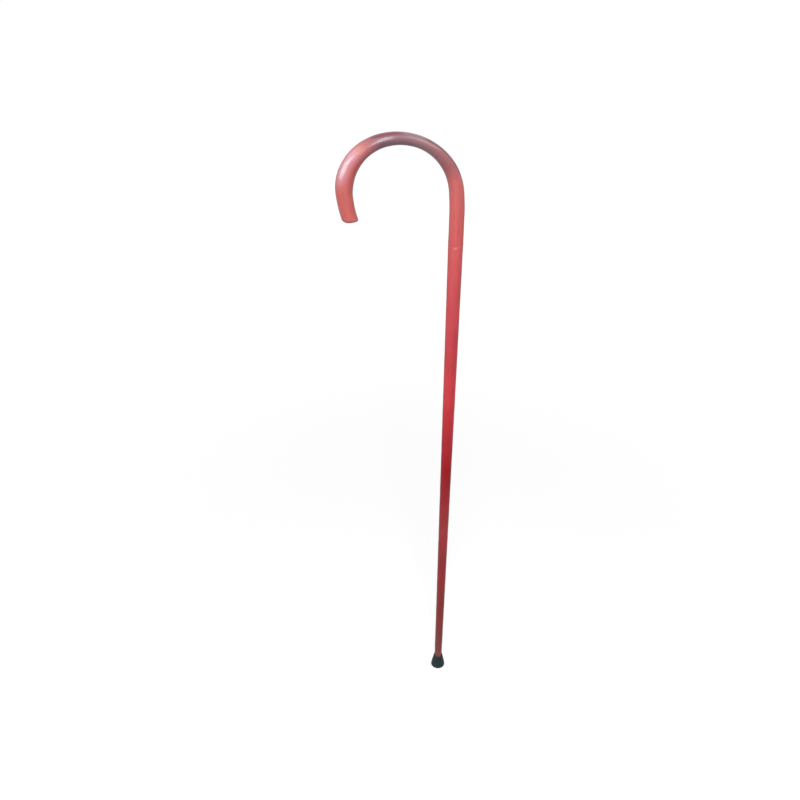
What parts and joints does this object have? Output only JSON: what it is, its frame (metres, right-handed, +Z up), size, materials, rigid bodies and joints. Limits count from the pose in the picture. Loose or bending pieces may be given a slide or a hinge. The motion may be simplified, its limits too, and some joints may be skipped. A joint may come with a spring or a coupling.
{
  "type": "crook-handled walking stick",
  "caption": "Wooden walking stick with a steam-bent crook handle glued to a tapered shaft over a threaded stud, and a bell-shaped rubber ferrule that pulls off the tip.",
  "frame": {"origin": "centre of the ferrule's flat tread, on the floor", "axes": "+Z up the shaft's axis, -X towards the nose of the hook, +Y across the plane of the hook"},
  "size_m": [0.168, 0.0234, 0.9141],
  "materials": {
    "handle_lacquer": "red stain under gloss lacquer, lighter and more orange than the shaft, hazed over the top of the hook",
    "shaft_lacquer": "crimson stain under gloss lacquer, darker towards the tip, bare wood inside the ferrule",
    "stud_steel": "plain turned steel with rolled threads",
    "ferrule_rubber": "matte greenish black moulded rubber",
    "washer_steel": "stamped zinc-plated steel"
  },
  "bodies": {
    "stick": {"crook_handle": "handle_lacquer", "shaft": "shaft_lacquer", "joint_stud": "stud_steel"},
    "ferrule": {"ferrule_boot": "ferrule_rubber", "ferrule_washer": "washer_steel"}
  },
  "joints": [
    {"name": "ferrule_pull", "type": "slide", "parent": "ferrule", "child": "stick", "axis": [0, 0, 1], "range_m": [0, 0.03]}
  ]
}
